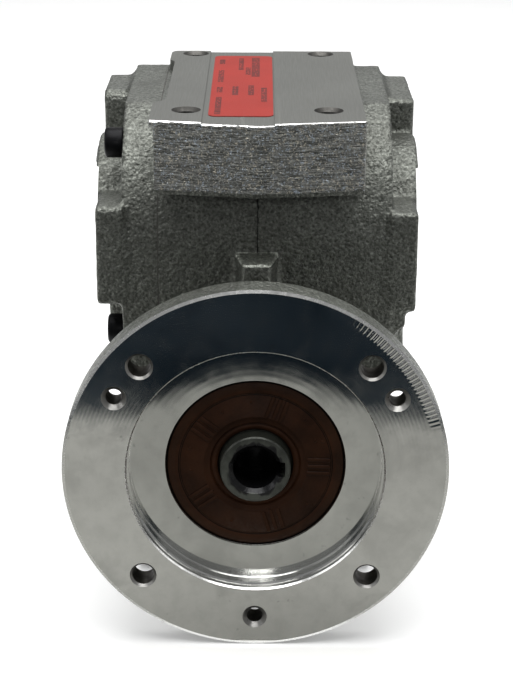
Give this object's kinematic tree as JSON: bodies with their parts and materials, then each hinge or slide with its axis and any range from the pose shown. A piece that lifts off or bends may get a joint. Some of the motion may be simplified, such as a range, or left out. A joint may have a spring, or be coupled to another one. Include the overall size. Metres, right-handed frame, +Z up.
{
  "type": "right angle gearbox",
  "caption": "Right angle gearbox with a round motor flange, a hollow output shaft across the case, a bevel and spur gear train, and a machined top mounting face.",
  "frame": {"origin": "centre of the motor flange face on the input axis", "axes": "+Y along the input axis into the gearbox, +Z up to the top mounting face, +X along the output axis to the right seen from the motor"},
  "size_m": [0.12, 0.1505, 0.1632],
  "materials": {
    "cast_housing": "sand cast, machined faces bright",
    "cast_cover": "sand cast",
    "gasket": "fibre sheet",
    "black_screws": "black oxide",
    "ground_steel": "ground",
    "brown_seal": "moulded brown rubber",
    "input_steel": "turned, greased",
    "spring_steel": "phosphated",
    "output_steel": "turned",
    "black_seal": "moulded black rubber",
    "gear_steel": "ground teeth",
    "label": "printed film",
    "plug_steel": "zinc plated",
    "copper_washer": "soft copper",
    "bearing_steel": "ground and polished",
    "bearing_balls": "polished",
    "bearing_cage": "pressed steel"
  },
  "bodies": {
    "root": {"gear_housing": "cast_housing", "side_cover": "cast_cover", "cover_gasket": "gasket", "cover_screws": "black_screws", "dowel_pins": "ground_steel", "input_seal": "brown_seal", "output_seal_left": "black_seal", "output_seal_right": "black_seal", "rating_label": "label", "drain_plug": "plug_steel", "plug_washer": "copper_washer", "input_front_bearing_outer_ring": "bearing_steel", "input_rear_bearing_outer_ring": "bearing_steel", "mid_left_bearing_outer_ring": "bearing_steel", "mid_right_bearing_outer_ring": "bearing_steel", "output_left_bearing_outer_ring": "bearing_steel", "output_right_bearing_outer_ring": "bearing_steel"},
    "output": {"output_shaft": "output_steel", "output_spacer": "ground_steel", "output_gear": "gear_steel", "output_left_bearing_inner_ring": "bearing_steel", "output_right_bearing_inner_ring": "bearing_steel"},
    "intermediate": {"intermediate_shaft": "ground_steel", "gear_keys": "ground_steel", "intermediate_sleeve": "ground_steel", "intermediate_pinion": "gear_steel", "crown_gear": "gear_steel", "mid_left_bearing_inner_ring": "bearing_steel", "mid_right_bearing_inner_ring": "bearing_steel"},
    "input": {"input_shaft": "input_steel", "input_circlip": "spring_steel", "bevel_pinion": "gear_steel", "input_front_bearing_inner_ring": "bearing_steel", "input_rear_bearing_inner_ring": "bearing_steel"},
    "input_front_cage": {"input_front_bearing_balls": "bearing_balls", "input_front_bearing_cage": "bearing_cage"},
    "input_rear_cage": {"input_rear_bearing_balls": "bearing_balls", "input_rear_bearing_cage": "bearing_cage"},
    "mid_left_cage": {"mid_left_bearing_balls": "bearing_balls", "mid_left_bearing_cage": "bearing_cage"},
    "mid_right_cage": {"mid_right_bearing_balls": "bearing_balls", "mid_right_bearing_cage": "bearing_cage"},
    "output_left_cage": {"output_left_bearing_balls": "bearing_balls", "output_left_bearing_cage": "bearing_cage"},
    "output_right_cage": {"output_right_bearing_balls": "bearing_balls", "output_right_bearing_cage": "bearing_cage"}
  },
  "joints": [
    {"name": "output_spin", "type": "hinge", "parent": "root", "child": "output", "pos_m": [0, 0.09415, 0.05625], "axis": [1, 0, 0], "continuous": true},
    {"name": "intermediate_spin", "type": "hinge", "parent": "root", "child": "intermediate", "pos_m": [0, 0.09415, 0], "axis": [1, 0, 0], "continuous": true},
    {"name": "input_spin", "type": "hinge", "parent": "root", "child": "input", "pos_m": [0, 0.02, 0], "axis": [0, 1, 0], "continuous": true},
    {"name": "input_front_cage_spin", "type": "hinge", "parent": "root", "child": "input_front_cage", "pos_m": [0, 0.023, 0], "axis": [0, 1, 0], "continuous": true},
    {"name": "input_rear_cage_spin", "type": "hinge", "parent": "root", "child": "input_rear_cage", "pos_m": [0, 0.044, 0], "axis": [0, 1, 0], "continuous": true},
    {"name": "mid_left_cage_spin", "type": "hinge", "parent": "root", "child": "mid_left_cage", "pos_m": [-0.0385, 0.09415, 0], "axis": [1, 0, 0], "continuous": true},
    {"name": "mid_right_cage_spin", "type": "hinge", "parent": "root", "child": "mid_right_cage", "pos_m": [0.0315, 0.09415, 0], "axis": [1, 0, 0], "continuous": true},
    {"name": "output_left_cage_spin", "type": "hinge", "parent": "root", "child": "output_left_cage", "pos_m": [-0.0405, 0.09415, 0.05625], "axis": [1, 0, 0], "continuous": true},
    {"name": "output_right_cage_spin", "type": "hinge", "parent": "root", "child": "output_right_cage", "pos_m": [0.0405, 0.09415, 0.05625], "axis": [1, 0, 0], "continuous": true}
  ],
  "couplings": [
    {"joint": "intermediate_spin", "follows": "output_spin", "ratio": -2},
    {"joint": "input_spin", "follows": "output_spin", "ratio": -8},
    {"joint": "input_front_cage_spin", "follows": "output_spin", "ratio": -3.2667},
    {"joint": "input_rear_cage_spin", "follows": "output_spin", "ratio": -3.1484},
    {"joint": "mid_left_cage_spin", "follows": "output_spin", "ratio": -0.79231},
    {"joint": "mid_right_cage_spin", "follows": "output_spin", "ratio": -0.79231},
    {"joint": "output_left_cage_spin", "follows": "output_spin", "ratio": 0.43377},
    {"joint": "output_right_cage_spin", "follows": "output_spin", "ratio": 0.43377}
  ]
}
